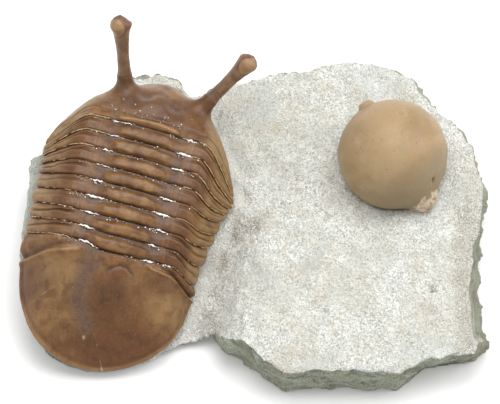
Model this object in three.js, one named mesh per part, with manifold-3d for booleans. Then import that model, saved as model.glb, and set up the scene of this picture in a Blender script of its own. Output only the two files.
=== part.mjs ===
// A stalk-eyed trilobite on the block of limestone it was found in, with a cystoid ball
// bedded in the same block. Millimetres, +Z up. The flat sawn base lies on Z = 0 and the
// origin is the middle of the footprint. The trilobite lies along +Y, head to the back.

import * as THREE from 'three';
import { mergeVertices } from 'three/addons/utils/BufferGeometryUtils.js';
import Module from 'manifold-3d';

// ---- Driving dimensions: millimetres, and degrees for angles ----

const GAP = 0.3; // between neighbouring pieces
const SHELL = 2.0; // thickness of the calcite shell with the stone stuck inside it
const CORE_CLEARANCE = 0.7; // between the shell and the stone under it

const TAIL_LENGTH = 30; // tail shield, along the back
const THORAX_LENGTH = 31.5; // eight free segments, along the back
const HEAD_LENGTH = 24.7; // head shield, along the back
const SEGMENT_COUNT = 8;
const FRONT_GIRTH = 29.4; // midline to the tips at the head, over the curve of the back
const REAR_GIRTH = 26; // the same at the tail shield
const TAIL_ROUNDNESS = 1.85; // 2 is an ellipse, less is nearer a pointed arch
const HEAD_ROUNDNESS = 1.39;
const AXIS_HALF = 7.4; // half the width of the middle lobe

const TAIL_TIP = [-36.2, -46.5, 3]; // rear end of the animal
const BACK_STATIONS = [0, TAIL_LENGTH, TAIL_LENGTH + THORAX_LENGTH,
  TAIL_LENGTH + THORAX_LENGTH + HEAD_LENGTH];
const BACK_PITCH = [50, 21, 0.5, -81]; // climb of the back at those stations
const BACK_YAW = [6.5, 14.2, 14.6, 21.3]; // heading, turned from +Y towards +X
const BACK_ROLL = [-8, -13, -4, 2.7]; // below zero the right side lies lower
const GIRTH_STATIONS = [0, 12.5, 16.5, 31]; // the flank bends down between the middle two
const FRONT_SPREAD = 1.05; // at the head those stations lie this much further out
const GIRTH_FALL = [0, 2, 48, 66]; // how steeply the flank falls at those stations
const BROW_FALL = [0, 56, 50, 73]; // the same at the very front of the head
const BEND_REACH = 14; // beyond this reach the flank trails to the rear
// How far the tips trail behind the midline at those stations, on each side.
const SWEEP_STATIONS = [0, 18, 30, 37.9, 45.8, 53.6, 61.5, 67];
const LEFT_SWEEP = [5.9, 5.3, 1.3, -0.6, -0.5, 2.2, 6.5, 6];
const RIGHT_SWEEP = [5.9, 5.3, 2.7, -1.4, -1.2, 2.8, 7.4, 6.2];
const BOW_STATIONS = [22, 30, 53.6, 61.5];
const RIGHT_BOW = [0, 1.2, 1.5, 0.2]; // the right-hand ribs bow to the rear half way down
const EASE_STATIONS = [30, 41, 55, 61.5];
const RIGHT_EASE = [0, 17, 17, 0]; // the right-hand tips spread out flatter by these degrees
const LEAD_STATIONS = [24, 30, 37.9];
const LEFT_LEAD = [0, 1.2, 0]; // the joints by the tail run further forward on the left

// Where each eye stalk stands on the head, its leans outwards and forwards, and its height.
const LEFT_STALK = { hand: -1, along: 72.9, across: 8.8, lean: 15, tilt: -2, height: 20.5 };
const RIGHT_STALK = { hand: 1, along: 75.2, across: 9.5, lean: 29.5, tilt: 5, height: 19.5 };
const STUMP_HEIGHT = 4.6; // the stump left on the head, up to the mended break

const BALL_RADIUS = 13.1;
const BALL_CENTRE = [34.1, 3.7, 18.8];

const BLOCK_TOP = 13; // height of the flat right-hand part of the block
const PLACE = [-0.41, 8.95, 0]; // puts the middle of the footprint on the origin

const rad = THREE.MathUtils.degToRad;
const { clamp, lerp, smoothstep } = THREE.MathUtils;

// ---- Materials ----

const material = (color, roughness) =>
  new THREE.MeshStandardMaterial({ color, roughness, metalness: 0 });
const CALCITE = material('#8a6547', 0.42);
const STALK_CALCITE = material('#9a6d47', 0.38);
const BALL_CALCITE = material('#b99a74', 0.5);
const LIMESTONE = material('#c9c9c0', 0.95);

// ---- Closed solids from grids of points ----

const MERGE = 1e-3; // corners nearer than this are one
const COLLAPSED = 0.01; // a triangle with a shorter side than this is left out

function fromQuads(quads) {
  const corners = [];
  const addTriangle = (a, b, c) => {
    const shortest = Math.min(a.distanceTo(b), b.distanceTo(c), c.distanceTo(a));
    if (shortest > COLLAPSED) corners.push(a, b, c);
  };
  for (const [a, b, c, d] of quads) {
    addTriangle(a, b, c);
    addTriangle(a, c, d);
  }
  return mergeVertices(new THREE.BufferGeometry().setFromPoints(corners), MERGE);
}

// outer[i][j] and inner[i][j] are the two faces of a plate; its rim is closed between them.
// Rows or columns may shrink to a point.
function plate(outer, inner) {
  const rows = outer.length - 1;
  const columns = outer[0].length - 1;
  const quads = [];
  for (let i = 0; i < rows; i++) {
    for (let j = 0; j < columns; j++) {
      quads.push([outer[i][j], outer[i][j + 1], outer[i + 1][j + 1], outer[i + 1][j]]);
      quads.push([inner[i][j], inner[i + 1][j], inner[i + 1][j + 1], inner[i][j + 1]]);
    }
    quads.push([outer[i][0], outer[i + 1][0], inner[i + 1][0], inner[i][0]]);
    quads.push([outer[i + 1][columns], outer[i][columns], inner[i][columns],
      inner[i + 1][columns]]);
  }
  for (let j = 0; j < columns; j++) {
    quads.push([outer[0][j + 1], outer[0][j], inner[0][j], inner[0][j + 1]]);
    quads.push([outer[rows][j], outer[rows][j + 1], inner[rows][j + 1], inner[rows][j]]);
  }
  return fromQuads(quads);
}

// ---- Joining and cutting ----

const wasm = await Module();
wasm.setup();

function toSolid(geometry) {
  const bare = geometry.clone();
  bare.deleteAttribute('normal');
  bare.deleteAttribute('uv');
  const merged = mergeVertices(bare, MERGE);
  return new wasm.Manifold(new wasm.Mesh({
    numProp: 3,
    vertProperties: new Float32Array(merged.attributes.position.array),
    triVerts: new Uint32Array(merged.index.array),
  }));
}

function toGeometry(solid) {
  const mesh = solid.getMesh();
  const geometry = new THREE.BufferGeometry();
  geometry.setAttribute('position', new THREE.BufferAttribute(mesh.vertProperties, 3));
  geometry.setIndex(new THREE.BufferAttribute(mesh.triVerts, 1));
  return geometry;
}

// ---- The curve of the animal's back ----

// Value at x of the straight-line graph through (stations[i], values[i]).
function along(x, stations, values) {
  let i = 1;
  while (i < stations.length - 1 && x > stations[i]) i++;
  const share = (x - stations[i - 1]) / (stations[i] - stations[i - 1]);
  return lerp(values[i - 1], values[i], clamp(share, 0, 1));
}

// Place and directions on the midline at arc length s from the tail.
function midline(s) {
  const place = new THREE.Vector3(...TAIL_TIP);
  const steps = 40;
  const aim = (at) => {
    const pitch = rad(along(at, BACK_STATIONS, BACK_PITCH));
    const yaw = rad(along(at, BACK_STATIONS, BACK_YAW));
    const level = new THREE.Vector3(Math.sin(yaw), Math.cos(yaw), 0);
    const forward = level.clone().multiplyScalar(Math.cos(pitch));
    forward.z = Math.sin(pitch);
    return { level, forward };
  };
  for (let i = 0; i < steps; i++) {
    place.addScaledVector(aim(((i + 0.5) * s) / steps).forward, s / steps);
  }
  const { level, forward } = aim(s);
  const right = new THREE.Vector3(level.y, -level.x, 0);
  right.applyAxisAngle(forward, -rad(along(s, BACK_STATIONS, BACK_ROLL)));
  const up = new THREE.Vector3().crossVectors(right, forward);
  return { place, forward, right, up };
}

// Offset sideways, fall and slope of the flank at arc length s and girth r.
function flank(s, r) {
  const reach = Math.abs(r);
  const brow = along(s, BACK_STATIONS.slice(2), [0, 1]);
  const falls = GIRTH_FALL.map((fall, i) => lerp(fall, BROW_FALL[i], brow));
  if (r > 0) falls[falls.length - 1] -= along(s, EASE_STATIONS, RIGHT_EASE);
  const spread = along(s, BACK_STATIONS.slice(1, 3), [1, FRONT_SPREAD]);
  const stations = GIRTH_STATIONS.map((station) => station * spread);
  const steps = 24;
  let side = 0;
  let fall = 0;
  for (let i = 0; i < steps; i++) {
    const slope = rad(along(((i + 0.5) * reach) / steps, stations, falls));
    side += (Math.cos(slope) * reach) / steps;
    fall += (Math.sin(slope) * reach) / steps;
  }
  return { side, fall, slope: rad(along(reach, stations, falls)) };
}

// Point of the back at arc length s and girth r, lifted clear of the smooth surface.
function back(s, r, lift) {
  const { place, forward, right, up } = midline(s);
  const { side, fall, slope } = flank(s, r);
  const hand = Math.sign(r);
  const beyond = Math.max(0, Math.abs(r) - BEND_REACH) / (FRONT_GIRTH - BEND_REACH);
  const sweep = along(s, SWEEP_STATIONS, hand < 0 ? LEFT_SWEEP : RIGHT_SWEEP);
  const lead = hand < 0 ? along(s, LEAD_STATIONS, LEFT_LEAD) * smoothstep(Math.abs(r), 3, 9) : 0;
  const bow = hand > 0 ? along(s, BOW_STATIONS, RIGHT_BOW) * Math.sin(Math.PI * beyond) : 0;
  const trail = sweep * beyond ** 1.1 + bow - lead;
  return place.clone()
    .addScaledVector(right, hand * (side + lift * Math.sin(slope)))
    .addScaledVector(up, lift * Math.cos(slope) - fall)
    .addScaledVector(forward, -trail);
}

// Girth from the midline to the margin at arc length s, with a margin added all round.
function halfGirth(s, margin = 0) {
  const [, rear, front] = BACK_STATIONS;
  const straight = along(s, [rear, front], [REAR_GIRTH, FRONT_GIRTH]) + margin;
  const tail = clamp((rear - s) / (TAIL_LENGTH + margin), 0, 1);
  const head = clamp((s - front) / (HEAD_LENGTH + margin), 0, 1);
  return straight * (1 - tail ** TAIL_ROUNDNESS) ** (1 / TAIL_ROUNDNESS)
    * (1 - head ** HEAD_ROUNDNESS) ** (1 / HEAD_ROUNDNESS);
}

const bump = (x, centre, width) => Math.exp(-(((x - centre) / width) ** 2));
const range = (count) => Array.from({ length: count + 1 }, (_, i) => i / count);

// A plate over the back. spots[i][j] is [s, r]; relief(s, r) stands out of the smooth back.
function shellPlate(spots, relief) {
  const face = (lift) => spots.map((row) => row.map(([s, r]) => back(s, r, lift(s, r))));
  return plate(face(relief), face(() => -SHELL));
}

// ---- Free segments of the thorax ----

const SEGMENT_ROWS = [0, 0.2, 0.45, 0.8, 1];
const SEGMENT_COLUMNS = 20;

function segmentRelief(f, r) {
  const reach = Math.abs(r);
  const ring = smoothstep(AXIS_HALF - reach, -0.4, 1.2);
  const outer = smoothstep(reach, 12, 24);
  const ringBand = 1.3 * Math.sin(Math.PI * clamp((f - 0.12) / 0.88, 0, 1)) - 0.3;
  const pleura = lerp(0.1, 0.7, outer) * (f - 0.3);
  const pleuralFurrow = -0.4 * bump(f, 0.25 + 0.02 * (reach - 8), 0.15) * (1 - outer);
  return ring * (0.9 + ringBand) + (1 - ring) * (pleura + pleuralFurrow);
}

function segmentGeometry(number) {
  const pitch = THORAX_LENGTH / SEGMENT_COUNT;
  const front = TAIL_LENGTH + THORAX_LENGTH - (number - 1) * pitch - GAP / 2;
  const length = pitch - GAP;
  const share = new Map();
  const spots = SEGMENT_ROWS.map((f) => range(SEGMENT_COLUMNS).map((t) => {
    const s = front - f * length;
    const spot = [s, (1 - 2 * t) * halfGirth(s)];
    share.set(spot[0], f);
    return spot;
  }));
  return shellPlate(spots, (s, r) => segmentRelief(share.get(s), r));
}

// ---- Tail shield and head shield: half discs that close the two ends ----

// Spots fan out from the joint with the thorax; direction is -1 to the rear, 1 to the front.
function shieldSpots(joint, length, girth, roundness, direction) {
  const rings = [0, 0.2, 0.4, 0.5, 0.6, 0.8, 0.9, 1];
  return range(22).map((turn) => {
    const ahead = Math.sin(Math.PI * turn);
    const across = direction * Math.cos(Math.PI * turn);
    const reach = (ahead ** roundness + Math.abs(across) ** roundness) ** (-1 / roundness);
    return rings.map((ring) => [
      joint + direction * length * ring * reach * ahead, girth * ring * reach * across]);
  });
}

function tailRelief(s, r) {
  const share = s / TAIL_LENGTH;
  const axis = bump(r, 0, 5) * smoothstep(share, 0.25, 0.95);
  return 0.5 * axis;
}

function headRelief(s, r) {
  const ahead = s - TAIL_LENGTH - THORAX_LENGTH;
  const glabella = bump(r, 0, 5.5) * smoothstep(ahead, 1.5, 4) * (1 - smoothstep(ahead, 18, 25));
  const occipital = bump(ahead, 0.6, 1) * bump(r, 0, 7);
  return 1.1 * glabella + 0.6 * occipital;
}

// ---- Eye stalks ----

// The foot of a stalk on the head, and the way it points.
function stalkAxis({ hand, along, across, lean, tilt }) {
  const { forward, right, up } = midline(along);
  const foot = back(along, hand * across, 0);
  const aim = up.clone().multiplyScalar(Math.cos(rad(lean)))
    .addScaledVector(right, hand * Math.sin(rad(lean)))
    .multiplyScalar(Math.cos(rad(tilt)))
    .addScaledVector(forward, Math.sin(rad(tilt)));
  return { foot, aim };
}

// A round column of [height, radius] pairs along the stalk's axis, closed at both ends.
function column({ foot, aim }, profile, sides) {
  const points = profile.map(([height, radius]) => new THREE.Vector2(radius, height));
  const turned = new THREE.LatheGeometry(points, sides);
  const upright = new THREE.Vector3(0, 1, 0);
  turned.applyQuaternion(new THREE.Quaternion().setFromUnitVectors(upright, aim));
  turned.translate(foot.x, foot.y, foot.z);
  return turned;
}

const STUMP_PROFILE = [[-1.2, 0], [-1.2, 4.2], [0.4, 3.6], [1.6, 2.6], [3, 2],
  [STUMP_HEIGHT, 1.75], [STUMP_HEIGHT, 0]];

// The stalk above the break: a waisted column that swells to a cap with the eye on it.
const stalkProfile = (height) => [
  [STUMP_HEIGHT + GAP, 0], [STUMP_HEIGHT + GAP, 1.72], [height * 0.45, 1.55],
  [height * 0.62, 1.6], [height * 0.74, 1.85], [height * 0.82, 2.5], [height * 0.89, 2.85],
  [height * 0.95, 2.5], [height * 0.985, 1.5], [height, 0]];

// ---- Cystoid ball ----

// The ball, grown all round for the socket it sits in.
function ballGeometry(growth) {
  const ball = new THREE.SphereGeometry(BALL_RADIUS + growth, 26, 16);
  ball.rotateX(Math.PI / 2);
  const position = ball.attributes.position;
  const point = new THREE.Vector3();
  const tubercle = new THREE.Vector3(-0.48, 0.8, 0.4).normalize();
  const spout = new THREE.Vector3(0.56, -0.75, -0.33).normalize();
  for (let i = 0; i < position.count; i++) {
    point.fromBufferAttribute(position, i);
    const out = point.clone().normalize();
    const swell = 0.35 * bump(out.distanceTo(tubercle), 0, 0.2)
      + 1.5 * bump(out.distanceTo(spout), 0, 0.3);
    point.addScaledVector(out, swell);
    position.setXYZ(i, point.x, point.y, point.z);
  }
  ball.translate(...BALL_CENTRE);
  return ball;
}

// ---- Limestone block ----

// Top edge of the block, anticlockwise from the notch beside the tail.
const BLOCK_EDGE = [
  [-8.6, -37.5], [-5.8, -40.2], [-1.9, -42.4], [3.1, -47], [7.9, -50.8], [16, -50],
  [24, -49.9], [28.6, -50.8], [31.9, -49.8], [35.3, -50.8], [42, -47.2], [53.4, -46.4],
  [54, -43.3], [52.6, -39.3], [52.2, -28], [53.4, -18], [54.8, -12], [56, -2.5],
  [54.7, 2], [53.6, 7], [51, 12.8], [46.7, 16.3], [41, 22.6], [39.1, 26.1], [35, 28.9],
  [29.5, 30.6], [24, 31.4], [19.2, 30.6], [14.4, 28.5], [9.6, 29.3], [4.8, 27.9],
  [0.5, 27.2], [-4.5, 25.8], [-10.8, 22.4], [-14.4, 22], [-17.2, 26.3], [-22, 27.9],
  [-28, 27.6], [-33.5, 23], [-41, 14], [-48, 8.5], [-52.4, 5.3], [-53.3, -4.5],
  [-54.4, -11], [-55, -18], [-53.5, -24], [-50, -32], [-45, -38], [-38, -43],
  [-30, -45.4], [-23.5, -43.2], [-16.1, -38.6], [-12.5, -38.2]];
const BLOCK_MIDDLE = new THREE.Vector2(2, -8);

// Height of the broken top: low beside the trilobite, flat and high to the right of it.
function blockHeight(x, y) {
  const beside = x + 4.3 - 0.26 * y;
  const low = clamp(12.6 + 0.31 * y + 0.16 * Math.max(0, -30 - x), 2, 12);
  const ripple = 0.35 * Math.sin(0.42 * x + 0.9) * Math.cos(0.36 * y)
    + 0.25 * Math.sin(0.21 * x - 0.33 * y);
  return lerp(low, BLOCK_TOP, smoothstep(beside, 1, 14)) + ripple;
}

// How far the foot of the broken side stands out of the top edge, to the right and forwards.
function sideFlare(x, y) {
  const rightSide = smoothstep(x, 48, 52) * (1 - smoothstep(y, -34, -14)) * smoothstep(y, -48, -42);
  const frontSide = smoothstep(x, -4, 4) * (1 - smoothstep(y, -44, -38));
  const frontCorner = smoothstep(x, 36, 46) * (1 - smoothstep(y, -44, -38));
  const behindHead = smoothstep(y, 18, 24) * (1 - smoothstep(x, -16, -10));
  const besideTail = smoothstep(x, -34, -30) * (1 - smoothstep(x, -9, -5)) * (1 - smoothstep(y, -36, -30));
  const forwards = 0.4 * frontSide + 3.6 * frontCorner + 2.4 * besideTail;
  return new THREE.Vector2(3.2 * rightSide, 2 * behindHead + forwards);
}

const TOP_SHARES = [1e-6, 0.2, 0.38, 0.55, 0.7, 0.83, 0.93, 1]; // middle to top edge
const SIDE_RINGS = [ // height, share of the flare and stand-out, from the top edge to the foot
  [0.72, 0.6, 0.3], [0.35, 1, 0.2], [0, 1, -0.8]];

function blockGeometry() {
  const spot = (point, share, out) => {
    const arm = point.clone().sub(BLOCK_MIDDLE);
    return arm.setLength(arm.length() * share + out).add(BLOCK_MIDDLE);
  };
  const spokes = [...BLOCK_EDGE, BLOCK_EDGE[0]].map(([x, y]) => {
    const edge = new THREE.Vector2(x, y);
    const top = TOP_SHARES.map((share) => {
      const place = spot(edge, share, 0);
      return new THREE.Vector3(place.x, place.y, blockHeight(place.x, place.y));
    });
    const side = SIDE_RINGS.map(([level, share, out]) => {
      const place = spot(edge.clone().addScaledVector(sideFlare(x, y), share), 1, out);
      return new THREE.Vector3(place.x, place.y, level * blockHeight(x, y));
    });
    return [...top, ...side, new THREE.Vector3(BLOCK_MIDDLE.x, BLOCK_MIDDLE.y, 0)];
  });
  const quads = [];
  for (let i = 0; i < spokes.length - 1; i++) {
    for (let j = 0; j < spokes[0].length - 1; j++) {
      quads.push([spokes[i][j], spokes[i][j + 1], spokes[i + 1][j + 1], spokes[i + 1][j]]);
    }
  }
  return fromQuads(quads);
}

// Spots over the whole animal, closer together at the rounded ends.
function bodySpots(margin) {
  const from = -margin;
  const total = TAIL_LENGTH + THORAX_LENGTH + HEAD_LENGTH + 2 * margin;
  return range(24).map((t) => {
    const s = from + total * (0.5 - 0.5 * Math.cos(Math.PI * t));
    return range(20).map((u) => [s, (1 - 2 * u) * halfGirth(s, margin)]);
  });
}

// The stone inside the shell, down to the base of the block.
function coreGeometry() {
  const spots = bodySpots(-1.5);
  const top = spots.map((row) => row.map(([s, r]) => back(s, r, -SHELL - CORE_CLEARANCE)));
  const foot = top.map((row) => row.map((point) => new THREE.Vector3(point.x, point.y, 0)));
  return plate(top.toReversed(), foot.toReversed());
}

// The room the shell takes up in the block, with clearance round it.
function mouldGeometry() {
  const spots = bodySpots(0.9).toReversed();
  const face = (lift) => spots.map((row) => row.map(([s, r]) => back(s, r, lift)));
  return plate(face(1.4), face(-SHELL - 1.2));
}

function matrixGeometry() {
  return toGeometry(toSolid(blockGeometry())
    .subtract(toSolid(mouldGeometry()))
    .subtract(toSolid(ballGeometry(GAP)))
    .add(toSolid(coreGeometry())));
}

// ---- Assembly ----

const specimen = new THREE.Group();
specimen.position.set(...PLACE);

function addPiece(name, geometry, pieceMaterial) {
  const mesh = new THREE.Mesh(geometry, pieceMaterial);
  mesh.name = name;
  specimen.add(mesh);
}

addPiece('matrix', matrixGeometry(), LIMESTONE);

const tailJoint = TAIL_LENGTH - GAP / 2;
const tailSpots = shieldSpots(tailJoint, tailJoint, REAR_GIRTH, TAIL_ROUNDNESS, -1);
addPiece('pygidium', shellPlate(tailSpots, tailRelief), CALCITE);

for (let number = 1; number <= SEGMENT_COUNT; number++) {
  addPiece(`thorax_segment_${number}`, segmentGeometry(number), CALCITE);
}

const leftAxis = stalkAxis(LEFT_STALK);
const rightAxis = stalkAxis(RIGHT_STALK);
const headJoint = TAIL_LENGTH + THORAX_LENGTH + GAP / 2;
const headSpots = shieldSpots(headJoint, HEAD_LENGTH, FRONT_GIRTH, HEAD_ROUNDNESS, 1);
const cephalon = toSolid(shellPlate(headSpots, headRelief))
  .add(toSolid(column(leftAxis, STUMP_PROFILE, 14)))
  .add(toSolid(column(rightAxis, STUMP_PROFILE, 14)));
addPiece('cephalon', toGeometry(cephalon), CALCITE);
const addStalk = (name, axis, { height }) =>
  addPiece(name, column(axis, stalkProfile(height), 14), STALK_CALCITE);
addStalk('eye_stalk_left', leftAxis, LEFT_STALK);
addStalk('eye_stalk_right', rightAxis, RIGHT_STALK);

addPiece('cystoid', ballGeometry(0), BALL_CALCITE);

export default specimen;
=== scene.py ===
import math

import bmesh
import bpy
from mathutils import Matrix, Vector, kdtree, noise
from mathutils.bvhtree import BVHTree


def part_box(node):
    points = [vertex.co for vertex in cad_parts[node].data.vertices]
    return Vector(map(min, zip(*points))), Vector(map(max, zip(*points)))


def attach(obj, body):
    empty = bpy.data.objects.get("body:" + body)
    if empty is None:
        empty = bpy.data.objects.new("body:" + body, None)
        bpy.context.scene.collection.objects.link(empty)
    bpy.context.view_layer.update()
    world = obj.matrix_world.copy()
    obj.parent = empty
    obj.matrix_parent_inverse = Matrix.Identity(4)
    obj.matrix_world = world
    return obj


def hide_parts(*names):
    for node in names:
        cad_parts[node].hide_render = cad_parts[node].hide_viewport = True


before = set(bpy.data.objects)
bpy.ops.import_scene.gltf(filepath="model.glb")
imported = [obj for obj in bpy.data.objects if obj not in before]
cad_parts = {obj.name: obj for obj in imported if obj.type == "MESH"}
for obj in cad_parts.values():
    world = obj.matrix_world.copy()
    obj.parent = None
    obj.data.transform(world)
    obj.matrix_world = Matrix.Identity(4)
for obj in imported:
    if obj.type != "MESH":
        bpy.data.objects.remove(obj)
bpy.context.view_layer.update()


# ---- Tail shield ----
# The pygidium: one smooth calcite plate, arched over the tail, with a faint middle ridge,
# a slanting furrow across each front corner and a rolled rim. Lengths here are millimetres.

MM = 0.001
TAIL_LENGTH = 30.0
THORAX_LENGTH = 31.5
HEAD_LENGTH = 24.7
BODY_STATIONS = (0.0, 30.0, 61.5, 86.2)
BACK_PITCH = (50.0, 21.0, 0.5, -81.0)  # degrees: climb of the back at those stations
BACK_YAW = (6.5, 14.2, 14.6, 21.3)
BACK_ROLL = (-8.0, -13.0, -4.0, 2.7)
TAIL_TIP = Vector((-36.61, -37.55, 3.0))
GIRTH_STATIONS = (0.0, 12.5, 16.5, 31.0)
FRONT_SPREAD = 1.05
GIRTH_FALL = (0.0, 2.0, 48.0, 66.0)
BROW_FALL = (0.0, 56.0, 50.0, 73.0)
REAR_GIRTH = 26.0
FRONT_GIRTH = 29.4
BEND_REACH = 14.0
# how far the tips trail behind the midline at those stations, on each side
SWEEP_STATIONS = (0.0, 18.0, 30.0, 37.9, 45.8, 53.6, 61.5, 67.0)
LEFT_SWEEP = (5.9, 5.3, 1.3, -0.6, -0.5, 2.2, 6.5, 6.0)
RIGHT_SWEEP = (5.9, 5.3, 2.7, -1.4, -1.2, 2.8, 7.4, 6.2)
BOW_STATIONS = (22.0, 30.0, 53.6, 61.5)
RIGHT_BOW = (0.0, 1.2, 1.5, 0.2)  # the right-hand ribs bow to the rear half way down
EASE_STATIONS = (30.0, 41.0, 55.0, 61.5)
RIGHT_EASE = (0.0, 17.0, 17.0, 0.0)  # degrees by which the right-hand tips spread flatter
LEAD_STATIONS = (24.0, 30.0, 37.9)
LEFT_LEAD = (0.0, 1.2, 0.0)  # the joints by the tail run forward on the left
TAIL_ROUNDNESS = 1.85
SHELL = 1.8
TABLE_STEP = 0.25


def clamp(x, low=0.0, high=1.0):
    return max(low, min(high, x))


def lerp(a, b, share):
    return a + (b - a) * share


def ease(x, low, high):
    """0 below low, 1 above high and smooth between."""
    share = clamp((x - low) / (high - low))
    return share * share * (3 - 2 * share)


def bump(x, centre, width):
    return math.exp(-(((x - centre) / width) ** 2))


def along(x, stations, values):
    """Height at x of the straight-line graph through (station, value)."""
    i = 1
    while i < len(stations) - 1 and x > stations[i]:
        i += 1
    share = (x - stations[i - 1]) / (stations[i] - stations[i - 1])
    return lerp(values[i - 1], values[i], clamp(share))


def heading(s):
    pitch = math.radians(along(s, BODY_STATIONS, BACK_PITCH))
    yaw = math.radians(along(s, BODY_STATIONS, BACK_YAW))
    level = Vector((math.sin(yaw), math.cos(yaw), 0))
    return level, level * math.cos(pitch) + Vector((0, 0, math.sin(pitch)))


def midline_table():
    """(place, forward, right, up) on the midline, every TABLE_STEP from the tail."""
    rows = []
    place = TAIL_TIP.copy()
    for i in range(int(BODY_STATIONS[-1] / TABLE_STEP) + 3):
        s = i * TABLE_STEP
        level, forward = heading(s)
        right = Vector((level.y, -level.x, 0))
        over = math.radians(along(s, BODY_STATIONS, BACK_ROLL))
        right = right * math.cos(over) + right.cross(forward) * math.sin(over)
        rows.append((place.copy(), forward, right, right.cross(forward)))
        place += heading(s + TABLE_STEP / 2)[1] * TABLE_STEP
    return rows


MIDLINE = midline_table()


def midline(s):
    step = clamp(s / TABLE_STEP, 0, len(MIDLINE) - 1.001)
    row = int(step)
    return [a.lerp(b, step - row) for a, b in zip(MIDLINE[row], MIDLINE[row + 1])]


def flank(s, r):
    """Offset sideways, fall and slope of the flank at arc length s and girth r."""
    reach = abs(r)
    brow = along(s, BODY_STATIONS[2:], (0, 1))
    falls = [lerp(low, high, brow) for low, high in zip(GIRTH_FALL, BROW_FALL)]
    if r > 0:
        falls[3] -= along(s, EASE_STATIONS, RIGHT_EASE)
    spread = along(s, BODY_STATIONS[1:3], (1, FRONT_SPREAD))
    side = fall = 0.0
    slope = start = 0.0
    for i in range(1, 4):
        end = GIRTH_STATIONS[i] * spread
        next_slope = math.radians(falls[i])
        run = min(reach, end) - start
        if run <= 0:
            break
        turn = (next_slope - slope) * run / (end - start)
        if abs(turn) > 1e-6:
            side += run * (math.sin(slope + turn) - math.sin(slope)) / turn
            fall += run * (math.cos(slope) - math.cos(slope + turn)) / turn
        else:
            side += run * math.cos(slope)
            fall += run * math.sin(slope)
        slope += turn
        start = end
    over = max(0.0, reach - start) if reach > GIRTH_STATIONS[3] * spread else 0.0
    return side + over * math.cos(slope), fall + over * math.sin(slope), slope


def back(s, r, lift):
    """Point of the animal's back at arc length s and girth r, lifted off the smooth surface."""
    place, forward, right, up = midline(s)
    reach = abs(r)
    side, fall, slope = flank(s, r)
    beyond = max(0.0, reach - BEND_REACH) / (FRONT_GIRTH - BEND_REACH)
    trail = along(s, SWEEP_STATIONS, LEFT_SWEEP if r < 0 else RIGHT_SWEEP) * beyond ** 1.1
    if r > 0:
        trail += along(s, BOW_STATIONS, RIGHT_BOW) * math.sin(math.pi * beyond)
    else:
        trail -= along(s, LEAD_STATIONS, LEFT_LEAD) * ease(reach, 3, 9)
    return (place
            + right * math.copysign(side + lift * math.sin(slope), r)
            + up * (lift * math.cos(slope) - fall)
            - forward * trail)


def grain(s, r, scale, seed):
    """Smooth noise over the back, about -1 to 1, with patches of that many millimetres."""
    return noise.noise(Vector((s / scale, r / scale, seed * 7.3)))


def half_disc(u, v, roundness):
    """Spreads the square u -1..1, v 0..1 over half a rounded disc."""
    x = u * math.sqrt(1 - v * v / 2)
    y = v * math.sqrt(1 - u * u / 2)
    radius = math.hypot(x, y)
    if radius < 1e-6:
        return 0.0, 0.0, 0.0
    cosine, sine = abs(x) / radius, abs(y) / radius
    stretch = (cosine ** roundness + sine ** roundness) ** (-1 / roundness)
    return x * stretch, y * stretch, radius


class Shade:
    """A shader socket that can be used in sums and products."""

    def __init__(self, tree, socket=None):
        self.tree = tree
        self.socket = socket

    def node(self, kind, settings, inputs, output=0):
        made = self.tree.nodes.new("ShaderNode" + kind)
        for key, value in settings.items():
            setattr(made, key, value)
        for key, value in inputs.items():
            if isinstance(value, Shade):
                self.tree.links.new(value.socket, made.inputs[key])
            else:
                made.inputs[key].default_value = value
        return Shade(self.tree, made.outputs[output])

    def math(self, operation, *values):
        return self.node("Math", {"operation": operation}, dict(enumerate(values)))

    def __add__(self, other):
        return self.math("ADD", self, other)

    def __radd__(self, other):
        return self.math("ADD", other, self)

    def __sub__(self, other):
        return self.math("SUBTRACT", self, other)

    def __rsub__(self, other):
        return self.math("SUBTRACT", other, self)

    def __mul__(self, other):
        return self.math("MULTIPLY", self, other)

    def __rmul__(self, other):
        return self.math("MULTIPLY", other, self)

    def step(self, low, high):
        """0 below low, 1 above high and smooth between."""
        return self.node("MapRange", {"interpolation_type": "SMOOTHSTEP"},
                         {"Value": self, "From Min": low, "From Max": high})

    def mix(self, factor, a, b):
        settings = {"data_type": "RGBA", "clamp_factor": True}
        return self.node("Mix", settings, {0: factor, 6: a, 7: b}, 2)

    def coats(self, body, *coats):
        """Colour body with coats laid over it one by one, each a (mask, colour)."""
        for mask, colour in coats:
            body = self.mix(mask, body, colour)
        return body

    def attribute(self, name):
        return self.node("Attribute", {"attribute_name": name}, {}, 2)

    def mark(self, name):
        """The piece's own attribute of that name, eased in from 0 to 1."""
        return self.attribute(name).step(0.0, 1.0)

    def place(self, scale):
        """Object coordinates in millimetres, stretched by scale along x, y and z."""
        spot = self.node("TexCoord", {}, {}, 3)
        size = tuple(1000.0 * part for part in scale)
        return self.node("VectorMath", {"operation": "MULTIPLY"}, {0: spot, 1: size})

    def cloud(self, vector, scale, detail=3.0, roughness=0.55, distortion=0.0):
        """Fractal noise from 0 to 1 with patches of about 1 / scale millimetres."""
        return self.node("TexNoise", {}, {
            "Vector": vector, "Scale": scale, "Detail": detail,
            "Roughness": roughness, "Distortion": distortion})

    def cells(self, vector, scale, output=0, feature="F1"):
        return self.node("TexVoronoi", {"feature": feature},
                         {"Vector": vector, "Scale": scale}, output)

    def bump_normal(self, height, strength, distance):
        return self.node("Bump", {}, {
            "Height": height, "Strength": strength, "Distance": distance})


def rgb(red, green, blue):
    """A colour given as it looks on screen, 0 to 255, as the shader needs it."""
    parts = [value / 255 for value in (red, green, blue)]
    return tuple(part / 12.92 if part < 0.04045 else ((part + 0.055) / 1.055) ** 2.4
                 for part in parts) + (1.0,)


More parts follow.
